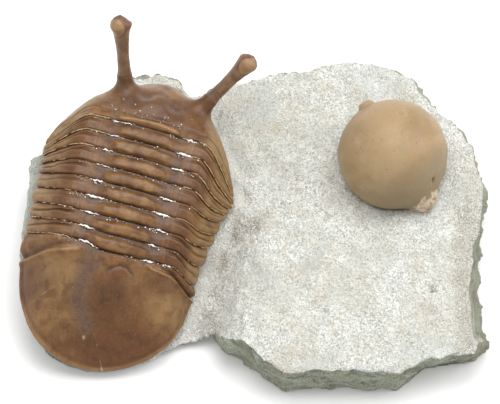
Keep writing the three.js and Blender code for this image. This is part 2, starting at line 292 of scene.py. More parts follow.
def new_material(name, constants):
    """A material with those constant shader inputs, and a Shade to build its looks on."""
    material = bpy.data.materials.new(name)
    material.use_nodes = True
    shader = material.node_tree.nodes["Principled BSDF"]
    for key, value in constants.items():
        shader.inputs[key].default_value = value
    return material, Shade(material.node_tree)


def feed(material, **sockets):
    """The material, with those sockets led into its shader."""
    tree = material.node_tree
    shader = tree.nodes["Principled BSDF"]
    for key, value in sockets.items():
        tree.links.new(value.socket, shader.inputs[key.replace("_", " ")])
    return material


def calcite_material():
    """Brown calcite, cloudy; tan painted highlight where it stands proud, painted shade in the
    grooves.
    """
    material, sh = new_material("brown_calcite", {
        "IOR": 1.5, "Coat Roughness": 0.2, "Specular IOR Level": 0.28,
        "Subsurface Weight": 0.03, "Subsurface Scale": 0.0006})
    tone = sh.attribute("tone")
    dusk = sh.attribute("dusk")
    run = sh.attribute("along")
    spot = sh.place((1, 1, 1))
    cloud = sh.cloud(spot, 0.14, 4.0, 0.62, 0.5)
    blotch = sh.cloud(spot, 0.4, 3.0, 0.6, 0.3)
    fine = sh.cloud(spot, 1.1, 3.0, 0.65)
    grit = sh.cloud(spot, 3.4, 2.0, 0.6)
    streak = sh.cloud(sh.place((1.1, 0.35, 0.35)), 1.2, 3.0, 0.6, 0.6)
    red = sh.cloud(sh.place((0.7, 0.7, 0.7)), 0.19, 2.0, 0.5)
    speck = sh.cells(spot, 1.6)
    # growth lines that follow the ribs
    ribwise = sh.node("CombineXYZ", {}, {
        0: sh.attribute("across") * 0.35, 1: run * 2.6 + cloud * 2.0, 2: 0.0})
    on_ribs = run.step(29.0, 31.0) * (0.35 + 0.65 * sh.attribute("moss").step(0.0, 0.8))
    hairs = 0.5 + (sh.cloud(ribwise, 1.0, 4.0, 0.7, 0.3) - 0.5) * on_ribs
    rusty = sh.mix(blotch.step(0.3, 0.7), rgb(70, 40, 20), rgb(100, 62, 30))
    dusky = sh.mix(fine.step(0.3, 0.7), rgb(66, 52, 46), rgb(96, 78, 68))
    body = sh.coats(
        sh.mix(cloud.step(0.3, 0.7), rgb(90, 58, 29), rgb(124, 88, 50)),
        (streak.step(0.45, 0.75) * 0.4, rgb(136, 102, 68)),
        (blotch.step(0.5, 0.66) * 0.55, rgb(80, 48, 25)),
        (red.step(0.5, 0.75) * 0.5, rgb(114, 70, 32)),
        (sh.mark("rust") * 0.85, rusty),
        (sh.mark("moss") * (0.55 + 0.35 * fine), rgb(144, 117, 78)),
        # painted highlight: tan where the surface stands proud
        (tone.step(0.0, 1.0) * 0.75, rgb(158, 122, 78)),
        (hairs.step(0.52, 0.7) * 0.35, rgb(70, 46, 28)),
        (hairs.step(0.47, 0.34) * 0.3, rgb(164, 134, 92)),
        # painted shade in grooves, joints and under edges, together with the dark stains on the
        # tail
        ((0 - tone).step(0.0, 1.0) * 0.85, rgb(56, 40, 27)),
        (dusk.step(0.0, 1.0) * (0.45 + 0.5 * fine), dusky),
        (blotch.step(0.5, 0.68) * 0.25, rgb(74, 44, 26)),
        (fine.step(0.5, 0.68) * 0.22, rgb(74, 44, 26)),
        (grit.step(0.54, 0.7) * 0.16, rgb(156, 124, 84)),
        # pale scratches, hairs and flecks, and a painted highlight along the tail's rolled rim
        (sh.attribute("pale").step(0.1, 0.9) * 0.9, rgb(180, 160, 126)),
        ((1 - speck.step(0.08, 0.16)) * fine.step(0.55, 0.62) * 0.5, rgb(186, 166, 136)))
    terraces = sh.math("SINE", run * 9.0 + cloud * 14.0) * sh.attribute("moss")
    height = grit * 0.35 + fine * 0.65 + hairs * 0.5 + terraces * 0.16
    return feed(material, Base_Color=body, Roughness=0.3 + 0.2 * fine + 0.12 * dusk,
                Coat_Weight=0.1 + 0.12 * fine, Normal=sh.bump_normal(height, 0.4, 0.0002))


CALCITE = calcite_material()
LAYERS = ("tone", "dusk", "across", "along", "pale", "rust", "moss")


def mark_layers(bm, names):
    """Room on every vertex for the attributes that the material reads."""
    return {name: bm.verts.layers.float.new(name) for name in names}


def set_marks(vert, layers, **marks):
    for name, value in marks.items():
        vert[layers[name]] = value


def finish_mesh(bm, name, material, smooth=True):
    bmesh.ops.recalc_face_normals(bm, faces=bm.faces[:])
    mesh = bpy.data.meshes.new(name)
    for face in bm.faces:
        face.smooth = smooth
    bm.to_mesh(mesh)
    bm.free()
    mesh.materials.append(material)
    piece = bpy.data.objects.new(name, mesh)
    bpy.context.scene.collection.objects.link(piece)
    return piece


def shell_plate(name, columns, rows, spot, surface, reshape=None):
    """A closed plate of the back. spot(u, v) gives (s, r, extra), surface(s, r, extra) gives
    (lift, marks); the inner face lies SHELL below. reshape moves a finished outer point."""
    bm = bmesh.new()
    bmesh.ops.create_grid(bm, x_segments=columns, y_segments=rows, size=1.0)
    layers = mark_layers(bm, LAYERS)
    inner = bm.verts[:]
    raised = bmesh.ops.extrude_face_region(bm, geom=bm.faces[:], use_keep_orig=True)
    outer = [part for part in raised["geom"] if isinstance(part, bmesh.types.BMVert)]
    for verts, is_outer in ((inner, False), (outer, True)):
        for vert in verts:
            s, r, extra = spot(vert.co.x, (vert.co.y + 1) / 2)
            lift, marks = surface(s, r, extra)
            set_marks(vert, layers, across=r, along=s, **marks)
            point = back(s, r, lift if is_outer else min(-SHELL, lift - 1.0))
            if reshape:
                point = reshape(point, is_outer)
            vert.co = point * MM
    return finish_mesh(bm, name, CALCITE)


def tail_spot(u, v):
    joint = TAIL_LENGTH - 0.12
    across, ahead, radius = half_disc(u, v, TAIL_ROUNDNESS)
    return joint - joint * ahead, REAR_GIRTH * across, radius


def line_distance(s, r, a, b):
    """Distance of (s, r) from the stretch a to b, and how far along it the nearest point is."""
    run = (b[0] - a[0], b[1] - a[1])
    length = run[0] ** 2 + run[1] ** 2
    share = clamp(((s - a[0]) * run[0] + (r - a[1]) * run[1]) / length)
    return math.hypot(s - a[0] - share * run[0], r - a[1] - share * run[1]), share


def patch(s, r, strength, at, out, width, run=1.0, over=1.0):
    """A soft round patch about (at, out), squeezed by run along the body and over across."""
    return strength * bump(math.hypot((s - at) * run, (r - out) * over), 0, width)


def patches(spots, s, r):
    return sum(patch(s, r, *spot) for spot in spots)


# places as (arc length, girth); patches as (strength, arc length, girth, width, squeezes)
CORNER_FURROW = ((29.0, 9.5), (27.6, 17.0), (25.4, 26.0))
SCRATCHES = (((15.0, -20.4), (19.8, -12.6), 0.17), ((0.6, 1.0), (6.0, -0.4), 0.17),
             ((6.0, -0.4), (10.6, -2.0), 0.12))
TAIL_RUST = ((1.2, 5.5, 4.5, 4.6, 1, 0.42), (1.2, 20, -22.5, 4.5), (0.8, 24, 12, 5.0, 1.4),
             (0.7, 11, 5, 6.0, 1, 0.7))
TAIL_DARK = ((0.5, 20.5, 0.6, 4.2, 1, 1.1), (0.25, 14, -0.8, 2.6, 0.6))
TAIL_MOSS = ((0.9, 18.4, 15.5, 5.4, 1, 0.75), (0.6, 24, -13, 6.5, 1, 0.7),
             (0.45, 12, -13, 6.0, 1, 0.7), (0.4, 25, 6, 4.0, 1, 1.2))
RIM_GROOVE = 0.925  # share of the way out to the margin


def tail_surface(s, r, radius):
    reach = abs(r)
    rim = ease(radius, 0.935, 0.955) * (1 - ease(radius, 0.975, 1.0))
    under = ease(radius, 0.975, 1.0)
    groove = bump(radius, RIM_GROOVE, 0.02)
    waver = 0.35 * grain(s, r, 5, 1)
    lift = 0.3 * bump(r, 0, 6) * ease(s, 4, 14) + 0.25 * grain(s, r, 9, 2)
    lift += 0.12 * grain(s, r, 3.2, 3) - 0.08 * groove + 0.08 * rim - 0.9 * under
    # front edge: a rounded flange that the last segment rests on
    flange = ease(s, 28.4, 29.4)
    lift -= 0.15 * flange * ease(reach, 3, 9) + 0.25 * ease(s, 29.3, 29.9)
    # painted highlight along the rolled rim, painted shade in its groove and under the margin
    tone = 0.45 * rim * ease(22 - s, 0, 8) - 0.35 * groove - 0.9 * under
    # slanting furrow across each front corner, with the edge behind it standing up
    stretches = zip(CORNER_FURROW, CORNER_FURROW[1:])
    (off, share), (start, end) = min(
        (line_distance(s, reach + 0.4 * waver, a, b), (a, b)) for a, b in stretches)
    lift -= 0.85 * bump(off, 0, 0.6) * ease(reach, 9.0, 15)
    # painted shade in the furrow and a painted highlight on the edge behind it
    tone -= 0.6 * bump(off, 0, 0.5) * ease(reach, 9.5, 14)
    if s < lerp(start[0], end[0], share):
        lift += 0.4 * bump(off, 1.0, 0.5)
        tone += 0.65 * bump(off, 0.9, 0.35)
    else:
        lift += 0.45 * bump(off, 1.7, 0.9) * ease(reach, 12, 18)
    # a curved dent behind the last ring
    bow = math.hypot(s - 24.6, (r - 2.0) * 0.9)
    dent = bump(bow, 2.6, 0.5) * ease(s, 24.6, 26.2)
    lift -= 0.35 * dent
    # painted shade in the dent
    tone -= 0.6 * dent
    pale = 0.0
    for a, b, width in SCRATCHES:
        off = line_distance(s + 0.5 * waver, r, a, b)[0]
        pale += (0.42 + 0.35 * grain(s, r, 1.6, 6)) * bump(off, 0, width)
        lift += 0.05 * bump(off, 0, width)
    # a small wart left of the axis
    pale += 0.8 * bump(s, 9.0, 0.6) * bump(r, -4.2, 0.35)
    lift += 0.15 * bump(s, 9.0, 0.7) * bump(r, -4.2, 0.5)
    # painted highlight along the rolled rim towards the rear
    pale += 0.4 * rim * (0.5 + 0.5 * grain(s, r, 3, 4)) * ease(20 - s, 0, 8)
    band = bump(r - 0.1 * (27 - s), -6.4 + 1.8 * grain(s, 0, 5, 5), 2.4)
    dusk = (0.95 + 0.5 * grain(s, r, 2.4, 7)) * band * ease(s, 7, 12)
    dusk += 0.5 * ease(s, 28.4, 29.6) * (1 - ease(reach, 8, 13))
    middle = patch(s, r - 0.25 * (s - 20), 1.3, 20, 0.4, 5.2, 1, 1.1)
    rust = (1 + 0.5 * grain(s, r, 5, 8)) * (middle + patches(TAIL_RUST, s, r))
    # the dark stains near the middle are carried in the same mark as the painted light
    tone -= (1 + 0.9 * grain(s, r, 2.6, 10)) * patches(TAIL_DARK, s, r)
    moss = (0.8 + 0.5 * grain(s, r, 3, 9)) * patches(TAIL_MOSS, s, r)
    return lift, dict(tone=tone, dusk=dusk, pale=pale, rust=rust, moss=moss)


pygidium = shell_plate("pygidium_shell", 150, 100, tail_spot, tail_surface)
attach(pygidium, "root")
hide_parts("pygidium")


# ---- Thorax ----
# Eight free segments that lap one over the next. Each is one calcite piece: a raised ring
# over the axis, a furrow on each side and a rib that bends down at the fulcrum to a blunt tip.

SEGMENT_COUNT = 8
SEGMENT_PITCH = THORAX_LENGTH / SEGMENT_COUNT
RING_HALF = 7.5


def half_girth(s):
    return along(s, BODY_STATIONS[1:3], (REAR_GIRTH, FRONT_GIRTH))


def segment_surface(number, f, s, r, reach_left):
    """Lift and marks at share f of the segment, front to rear; reach_left is to the tip."""
    reach = abs(r)
    side = number + (20 if r < 0 else 0)
    f2 = f + 0.08 * grain(s, r, 2.6, number)
    half = RING_HALF + 0.4 * grain(number, 0, 1.7, 11) + 0.4 * grain(s, r, 1.6, 12)
    ring = 1 - ease(reach, half - 2.0, half + 0.8)
    # the ring is a lens: full over the axis and drawn out thin at both ends
    ends = min(1.0, reach / half) ** 2
    crest = ease(f2, 0.04 + 0.2 * ends, 0.4 + 0.2 * ends)
    crest *= 1 - 0.9 * ease(f2, 0.88 - 0.08 * ends, 1.0)
    ring_lift = (0.8 + 0.2 * grain(s, r, 4, number + 60)) * crest + 0.65 * (1 - ends) - 0.3
    ring_lift += 0.3 * math.sin(math.pi * clamp((f2 - 0.2) / 0.8))
    furrow = bump(reach, half + 1.0, 1.4)
    # rib: a rounded fold, split by a slanting furrow
    outer = ease(reach, 12.5, 21)
    line = lerp(0.22, 0.58, ease(reach, 10, 27)) + 0.05 * grain(s, r, 4.5, side + 20)
    open_out = ease(reach, 10.5, 14.0) * (1 - ease(reach, 23.5, 27.5))
    open_out *= 0.8 + 0.5 * grain(side, 2, 1.3, 21)
    slit = bump(f2, line, 0.08) * open_out
    lip = bump(f2, line + 0.17, 0.11) * open_out
    fold = max(0.0, math.sin(math.pi * clamp(f))) ** 0.5
    rib_lift = lerp(-0.1, -0.62, outer) + lerp(0.25, 0.45, outer) * ease(f2, 0.0, 0.8)
    rib_lift += lerp(0.15, 0.55 + 0.25 * grain(side, 4, 1.3, 22), outer) * fold
    rib_lift += 0.15 * lip - 0.6 * slit + 0.12 * outer * grain(s, r, 2.2, side + 40)
    rib_lift -= lerp(0.35, 0.0, outer) * ease(f, 0.9, 1.0)
    lift = lerp(rib_lift, ring_lift, ring) - 0.5 * furrow * (0.7 + 0.3 * (1 - crest))
    tip = clamp((2.8 - reach_left) / 2.8)
    lift -= 0.5 * (1 - math.sqrt(max(0.0, 1 - tip * tip)))
    lift += 0.08 * grain(s, r, 1.6, 31) + 0.14 * grain(s, r, 5, 32)
    strip = 1 - ease(f2, 0.06 + 0.2 * ends, 0.3 + 0.2 * ends)
    mottle = grain(s, r, 2.0, 33)
    dusk = 0.7 * ring * strip + (0.75 + 0.7 * mottle) * furrow
    dusk += 0.35 * strip * (1 - ring) * (1 - ease(reach, 11, 15))
    # painted highlight on the ring's crest and rear band, painted shade in its front strip and
    # at its rear joint
    tone = ring * (0.05 * crest + 0.2 * bump(f2, 0.72, 0.14) - 0.5 * strip)
    tone -= 0.7 * ring * ease(f, 0.93, 1.0)
    # painted highlight on the rib's lip and rear, painted shade in the slit and along the
    # joints
    tone += (1 - ring) * (0.35 * lip - 0.7 * slit + 0.3 * outer * bump(f2, 0.8, 0.14))
    tone -= (1 - ring) * lerp(0.3, 0.12, outer) * (1 - fold)
    hair = bump(reach, 11.5 + 0.5 * grain(s, 0, 6, 14), 0.16)
    pale = 0.35 * hair * (1 - slit)
    rust = (0.7 + 0.8 * grain(s, r, 3.4, 38)) * ease(reach, 9.5, 12)
    rust *= 1 - ease(reach, 15, 21)
    rust += 0.7 * ring * ease(grain(s, r, 2.6, 39), 0.05, 0.5)
    moss = 0.45 * ring * ease(grain(s, r, 2.2, 36), -0.1, 0.4) * crest
    mossy = (0.75 + 0.6 * grain(s, r, 3, 37)) * fold
    moss += (1.15 if r > 0 else 0.9) * ease(reach, 15, 23) * mossy
    return lift, dict(tone=tone, dusk=clamp(dusk), pale=pale, rust=rust, moss=moss)


def joint_at(number):
    """Arc length of the joint behind that segment; 0 is the joint behind the head."""
    return TAIL_LENGTH + THORAX_LENGTH - number * SEGMENT_PITCH


def segment_plate(number):
    front = joint_at(number - 1) - 0.06
    length = SEGMENT_PITCH - 0.12

    def spot(u, v):
        f = 1 - v
        s = front - f * length
        rear_corner = max(0.0, (f - 0.55) / 0.45)
        trim = 0.5 * (1 - f) ** 2 + 0.45 * rear_corner ** 2.5
        end = half_girth(s) - trim
        return s, u * end, (f, end - abs(u) * end)

    def surface(s, r, extra):
        return segment_surface(number, extra[0], s, r, extra[1])

    return shell_plate(f"thorax_segment_{number}_shell", 190, 26, spot, surface)


for number in range(1, SEGMENT_COUNT + 1):
    segment = segment_plate(number)
    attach(segment, "root")
    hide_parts(f"thorax_segment_{number}")


# ---- Head shield ----
# The cephalon: one calcite plate that curls down at the front. It carries a neck ring along
# its rear edge, a low swelling between two hollows, and the flared stumps of the eye stalks.

HEAD_ROUNDNESS = 1.39
STUMP_HEIGHT = 4.5
STUMP_RADIUS = 1.85
SKIRT_REACH = 7.0  # from the stalk's axis, where its flare meets the head
SKIRT_DEPTH = 6.0  # points lower than this under a stalk's foot stay where they are
STUMP_TOP_REACH = 2.1
STUMP_WALL = 0.7
LEFT_STALK = {"hand": -1, "along": 72.9, "across": 8.8, "lean": 15, "tilt": -2, "height": 20.5}
RIGHT_STALK = {"hand": 1, "along": 75.2, "across": 9.5, "lean": 29.5, "tilt": 5, "height": 19.5}


def stalk_axis(stalk):
    """The foot of a stalk on the head, and the way it points."""
    forward, right, up = midline(stalk["along"])[1:]
    lean, tilt = math.radians(stalk["lean"]), math.radians(stalk["tilt"])
    upright = up * math.cos(lean) + right * (stalk["hand"] * math.sin(lean))
    aim = upright * math.cos(tilt) + forward * math.sin(tilt)
    return back(stalk["along"], stalk["hand"] * stalk["across"], 0), aim


STALK_AXES = [stalk_axis(LEFT_STALK), stalk_axis(RIGHT_STALK)]


def raise_stumps(point, is_outer):
    """Draws the shell up into a flared stump round the foot of each eye stalk."""
    for foot, aim in STALK_AXES:
        arm = point - foot
        height = arm.dot(aim)
        level = arm - aim * height
        reach = level.length
        if reach >= SKIRT_REACH or height < -SKIRT_DEPTH:
            continue
        rise = clamp((SKIRT_REACH - reach) / (SKIRT_REACH - STUMP_TOP_REACH))
        radius = lerp(SKIRT_REACH, STUMP_RADIUS, 1 - (1 - rise) ** 2.0)
        if reach < STUMP_TOP_REACH:
            radius = STUMP_RADIUS * reach / STUMP_TOP_REACH
        thin = 0.0 if is_outer else STUMP_WALL * rise
        top = STUMP_HEIGHT * rise ** 2.2 + height * (1 - rise) ** 1.2
        outwards = level.normalized() if reach > 1e-6 else Vector((0, 0, 0))
        point = foot + aim * (top - 2 * thin) + outwards * (radius * (1 - 0.35 * thin))
    return point


def head_spot(u, v):
    joint = TAIL_LENGTH + THORAX_LENGTH + 0.12
    across, ahead, radius = half_disc(u, v, HEAD_ROUNDNESS)
    return joint + (HEAD_LENGTH - 0.2) * ahead, FRONT_GIRTH * across, radius


# the hollows are patches, as on the tail
HOLLOWS = ((1, 70.6, -2.9, 2.1, 1, 1.2), (1, 70.1, 4.3, 2.0, 1, 0.8))
# (start, end, half width, 1 for a ridge or -1 for a groove) of the folds on the cheeks
CHEEK_FOLDS = (
    ((61.95, 13.5), (61.8, 27.5), 0.3, 1), ((63.6, 14.0), (62.6, 27.6), 0.28, 1),
    ((62.8, 14.5), (62.2, 27.0), 0.26, -1), ((65.3, 16.0), (63.3, 27.8), 0.3, -1))


def head_surface(s, r, radius):
    reach = abs(r)
    ahead = s - TAIL_LENGTH - THORAX_LENGTH
    wander = 0.35 * grain(s, r, 4.0, 41)
    mid = 1 - ease(reach, 6.5, 8.2)
    # neck ring and the furrow in front of it
    ring = bump(ahead + 0.5 * wander + 0.02 * r * r - 0.6, 0.9, 0.7) * mid
    neck = bump(ahead + wander, 2.8, 0.7) * (1 - ease(reach, 6.0, 8.5))
    border = bump(ahead + wander, 2.1 + 0.05 * reach, 0.45) * ease(reach, 8, 10)
    border *= 1 - ease(reach, 24, 28)
    middle = bump(r, 0, 4.6) * ease(ahead, 3, 7) * (1 - ease(ahead, 17, 24))
    lift = 0.25 + 0.65 * ring - 0.35 * neck - 0.4 * border + 0.9 * middle
    # hollows on the inner side of each stalk
    hollows = patches(HOLLOWS, s, r)
    lift -= 0.95 * hollows
    # furrow over the axis on each side and folds near the cheek tips
    axial = bump(reach, 8.4 + 0.12 * ahead, 0.9) * (1 - ease(ahead, 1.5, 5))
    lift -= 0.5 * axial
    lift += 0.1 * grain(s, r, 1.8, 42) + 0.2 * grain(s, r, 6, 43)
    lift += 0.3 * grain(s, r, 3.2, 45) * mid * ease(ahead, 2, 4)
    # painted highlight on the neck ring and the swelling, painted shade in the furrows
    tone = 0.75 * ring - 0.3 * neck - 0.5 * border + 0.1 * middle
    pale = 0.0
    # the cheek folds: painted highlight on the ridges, painted shade in the grooves
    for start, end, width, sign in CHEEK_FOLDS:
        off, share = line_distance(s + 0.5 * wander, reach, start, end)
        strength = bump(off, 0, width) * (0.35 + 0.65 * share)
        lift += 0.22 * sign * strength
        tone += 0.55 * sign * strength
        if sign > 0:
            pale += 0.75 * strength * ease(grain(s, r, 2.4, 44), -0.3, 0.2)
    edge = ease(radius, 0.965, 0.995)
    rim = bump(radius, 0.95, 0.02)
    lift += 0.15 * rim - 0.9 * edge
    # painted highlight on the rim, painted shade where the edge curls under
    tone += 0.25 * rim * (1 - ease(reach, 16, 22)) - 0.7 * edge
    # painted shade along the rear edge at the joint
    rear = 1 - ease(ahead, 0.15, 0.45)
    lift -= 0.45 * rear
    tone -= 0.7 * rear
    dusk = 0.75 * clamp(hollows) + 0.55 * axial + 0.35 * neck * ease(wander, -0.1, 0.2)
    dusk += patch(s, r, 0.5, 66.5, -8, 3.0, 1, 0.6)
    cloudy = 0.6 * ease(grain(s, r, 2.6, 46), -0.1, 0.6)
    dusk += cloudy * bump(ahead, 5, 4) * (1 - ease(reach, 9, 13))
    rust = 0.0
    for foot, _ in STALK_AXES:
        rust += 0.8 * bump((back(s, r, 0) - foot).length, 2.0, 3.6)
    rust += patch(s, r, 0.3, 67, 6, 4, 1, 0.6)
    rust += 0.85 * bump(ahead, 6, 4.5) * bump(r, 1, 8) * (1 + grain(s, r, 3, 47))
    moss = 0.35 * bump(ahead, 16, 5) * bump(r, 0, 6) + 0.2 * ring
    moss += (1.1 if r > 0 else 1.0) * ease(reach, 11, 18) * (0.9 + 0.4 * grain(s, r, 3, 48))
    return lift, dict(tone=tone, dusk=clamp(dusk), pale=pale, rust=clamp(rust), moss=moss)


cephalon = shell_plate("cephalon_shell", 170, 110, head_spot, head_surface, raise_stumps)
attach(cephalon, "root")
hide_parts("cephalon")


# ---- Eye stalks ----
# Two slender calcite columns, broken off when the stone was prepared and set back on their
# stumps with a pale line of filler. Each swells to a slanted cap with a tan eye on its face.

STALK_SIDES = 48
STALK_SHARES = (0.3, 0.45, 0.62, 0.74, 0.82, 0.885, 0.94, 0.98, 1.0)  # of its height
STALK_RADII = (1.78, 1.55, 1.48, 1.62, 1.92, 2.36, 2.66, 2.42, 1.5, 0.15)  # stump, then those
TURN_START = Vector((0, -0.42, 0.91))  # turns round a stalk are counted from this side


def facing(aim):
    """The two directions square to a stalk that its turns are counted in."""
    toward = (TURN_START - aim * aim.dot(TURN_START)).normalized()
    return toward, toward.cross(aim)


def column(bm, foot, aim, heights, spoke):
    """A closed column round an axis. spoke(height, turn) gives (radius, drop) of the wall."""
    toward, side = facing(aim)
    loop = bmesh.ops.create_circle(bm, cap_ends=True, segments=STALK_SIDES, radius=1.0)["verts"]
    turns = [2 * math.pi * i / STALK_SIDES for i in range(STALK_SIDES)]

    def set_ring(verts, height):
        for vert, turn in zip(verts, turns):
            radius, drop = spoke(height, turn)
            way = toward * math.cos(turn) + side * math.sin(turn)
            vert.co = (foot + aim * (height - drop) + way * radius) * MM

    set_ring(loop, heights[0])
    for height in heights[1:]:
        rim = set(loop)
        edges = {edge for vert in loop for edge in vert.link_edges
                 if edge.other_vert(vert) in rim}
        made = bmesh.ops.extrude_edge_only(bm, edges=list(edges))["geom"]
        above = {}
        for vert in (part for part in made if isinstance(part, bmesh.types.BMVert)):
            for edge in vert.link_edges:
                above[edge.other_vert(vert)] = vert
        loop = [above[vert] for vert in loop]
        set_ring(loop, height)
    bm.faces.new(loop)


def eye_material():
    """Tan eye surface, faintly honeycombed, over the same calcite."""
    material, sh = new_material("stalk_calcite", {
        "IOR": 1.5, "Coat Roughness": 0.25, "Subsurface Weight": 0.06,
        "Subsurface Scale": 0.001})
    spot = sh.place((1, 1, 1))
    cloud = sh.cloud(spot, 0.35, 4.0, 0.6, 0.3)
    fine = sh.cloud(spot, 1.8, 3.0, 0.65)
    speck = sh.cells(spot, 1.9)
    body = sh.coats(
        sh.mix(cloud.step(0.35, 0.65), rgb(90, 60, 34), rgb(124, 90, 54)),
        (fine.step(0.5, 0.7) * 0.5, rgb(84, 58, 38)),
        # painted shade in a ring round the edge of the eye
        ((0 - sh.attribute("tone")).step(0.0, 1.0) * 0.8, rgb(74, 60, 50)),
        # painted sheen: a greyish stripe down one side of the shaft
        (sh.attribute("dusk") * (0.4 + 0.6 * fine), rgb(88, 72, 60)),
        (sh.mark("rust") * 0.6, rgb(104, 64, 40)),
        (sh.attribute("moss").step(0.3, 0.7) * 0.85, rgb(142, 110, 72)),
        (sh.attribute("pale").step(0.2, 0.8) * 0.8, rgb(164, 146, 119)),
        ((1 - speck.step(0.1, 0.2)) * fine.step(0.5, 0.6) * 0.7, rgb(180, 167, 144)))
    height = fine * 0.8 + sh.cells(spot, 5.0) * sh.attribute("moss") * 0.25
    return feed(material, Base_Color=body, Roughness=0.36 + 0.2 * fine,
                Coat_Weight=0.2 + 0.1 * fine, Normal=sh.bump_normal(height, 0.4, 0.00012))


STALK_CALCITE = eye_material()


def eye_stalk(name, stalk, eye, lobe, slant):
    """eye and lobe are (turn, height share) of the eye's middle and of the lid opposite."""
    foot, aim = stalk_axis(stalk)
    total = stalk["height"]
    stations = (STUMP_HEIGHT, *(total * share for share in STALK_SHARES))
    bm = bmesh.new()
    layers = mark_layers(bm, LAYERS)

    def turn_from(turn, middle):
        return abs((turn - middle + math.pi) % (2 * math.pi) - math.pi)

    def spoke(height, turn):
        share = height / total
        radius = along(height, stations, STALK_RADII)
        cap = ease(share, 0.72, 0.86)
        toward_eye = math.exp(-(turn_from(turn, eye[0]) / 0.75) ** 2)
        toward_lid = math.exp(-(turn_from(turn, lobe[0]) / 0.7) ** 2)
        pad = toward_eye * bump(share, eye[1], 0.085)
        lid = toward_lid * bump(share, lobe[1], 0.1)
        radius *= 1 + cap * ((0.1 + 0.2 * slant) * pad + 0.16 * slant * lid - 0.06)
        radius += 0.06 * noise.noise(Vector((height * 0.6, turn, total)))
        radius += 0.03 * noise.noise(Vector((height * 2.1, turn * 3, total)))
        drop = slant * 0.75 * cap * (1 - math.cos(turn - eye[0])) * ease(share, 0.84, 0.97)
        return max(radius, 0.1), drop * clamp(radius / 2)

    heights = [lerp(STUMP_HEIGHT + 0.02, total, i / 56) for i in range(57)]
    heights = [height for height in heights if height < total * 0.975]
    heights += [total * lerp(0.978, 1.0, 1 - (1 - i / 9) ** 2) for i in range(10)]
    column(bm, foot, aim, heights, spoke)
    toward, side = facing(aim)
    for vert in bm.verts:
        arm = vert.co / MM - foot
        height = arm.dot(aim)
        turn = math.atan2(arm.dot(side), arm.dot(toward))
        share = height / total
        pad = math.hypot(turn_from(turn, eye[0]) * 2.6, (share - eye[1]) * total)
        set_marks(
            vert, layers, moss=1 - ease(pad, 2.0, 2.6), pale=0.5 * bump(height, 4.6, 0.16),
            # painted shade in a ring round the eye
            tone=-0.9 * bump(pad, 2.75, 0.35) * ease(share, 0.7, 0.8),
            rust=0.9 * ease(share, 0.78, 0.86),
            # painted sheen down one side of the shaft, below the cap
            dusk=0.3 * bump(turn, 0.5, 0.6) * ease(0.8 - share, 0, 0.1))
    piece = finish_mesh(bm, name + "_column", STALK_CALCITE)
    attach(piece, "root")
    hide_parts(name)


eye_stalk("eye_stalk_left", LEFT_STALK, (0.55, 0.865), (-1.3, 0.9), 0.8)
eye_stalk("eye_stalk_right", RIGHT_STALK, (-0.35, 0.875), (2.4, 0.9), 0.25)


# ---- Painted glints in the joints ----
# Thin white slivers beside the axis and scattered white grains along the joints and on the head
# are painted highlights: glossy near-white pieces that stand in for the glints on the shiny
# shell.

def filling_and_glint_material(name, gloss, scale, dark, light):
    """Calcite of a filling, and the white of the painted glints; gloss is (specular level,
    coat, coat roughness, roughness).
    """
    level, coat, coat_roughness, roughness = gloss
    material, sh = new_material(name, {
        "IOR": 1.5, "Specular IOR Level": level, "Coat Weight": coat,
        "Coat Roughness": coat_roughness})
    fine = sh.cloud(sh.place((1, 1, 1)), scale, 2.0, 0.6)
    body = sh.mix(fine.step(0.35, 0.65), rgb(*dark), rgb(*light))
    return feed(material, Base_Color=body, Roughness=roughness + 0.2 * fine)


# painted highlight: near-white glossy pieces for the glints in the joints
GLINT_WHITE = filling_and_glint_material(
    "painted_glint_white", (0.6, 0.4, 0.1, 0.15), 1.6, (206, 198, 190), (250, 248, 244))
UNSTRETCHED = Vector((0.001, 0, 0))
JOINT_GLINTS = 210
HEAD_GLINTS = 30
NECK_GLINTS = 24  # those of the head's that lie close in front of the neck ring


def joint_lift(reach):
    """How high the joint line lies off the smooth back at that reach from the midline."""
    arch = max(0.0, 1 - (reach / RING_HALF) ** 2)
    return 0.1 + 0.65 * arch


def hashed(*parts):
    """A fixed number from 0 to 1 for those parts."""
    mixed = sum(part * scale for part, scale in zip(parts, (12.9898, 78.233, 37.719)))
    return (math.sin(mixed) * 43758.5453) % 1.0


def add_grain(bm, centre, size, stretch, seed, faces=1):
    """A small pebble, stretched along a direction and roughened: a bead of a calcite thread,
    and a painted glint.
    """
    made = bmesh.ops.create_icosphere(bm, subdivisions=faces, radius=size)["verts"]
    for vert in made:
        rough = 1 + 0.35 * noise.noise(vert.co * 3 / size + Vector((seed, 0, 0)))
        point = vert.co * rough
        vert.co = (centre + point + stretch * point.dot(stretch.normalized()) / size) * MM


def string_grain(bm, place, pitch, size, pull, seed, faces=1):
    """A grain at place, (s, hand, reach, lift), drawn out along its joint."""
    s, hand, reach, lift = place
    centre = back(s, hand * reach, lift)
    ahead = back(s, hand * (reach + pitch), lift)
    stretch = (ahead - centre).normalized() * size * pull
    add_grain(bm, centre, size, stretch, seed, faces)


slivers = bmesh.new()
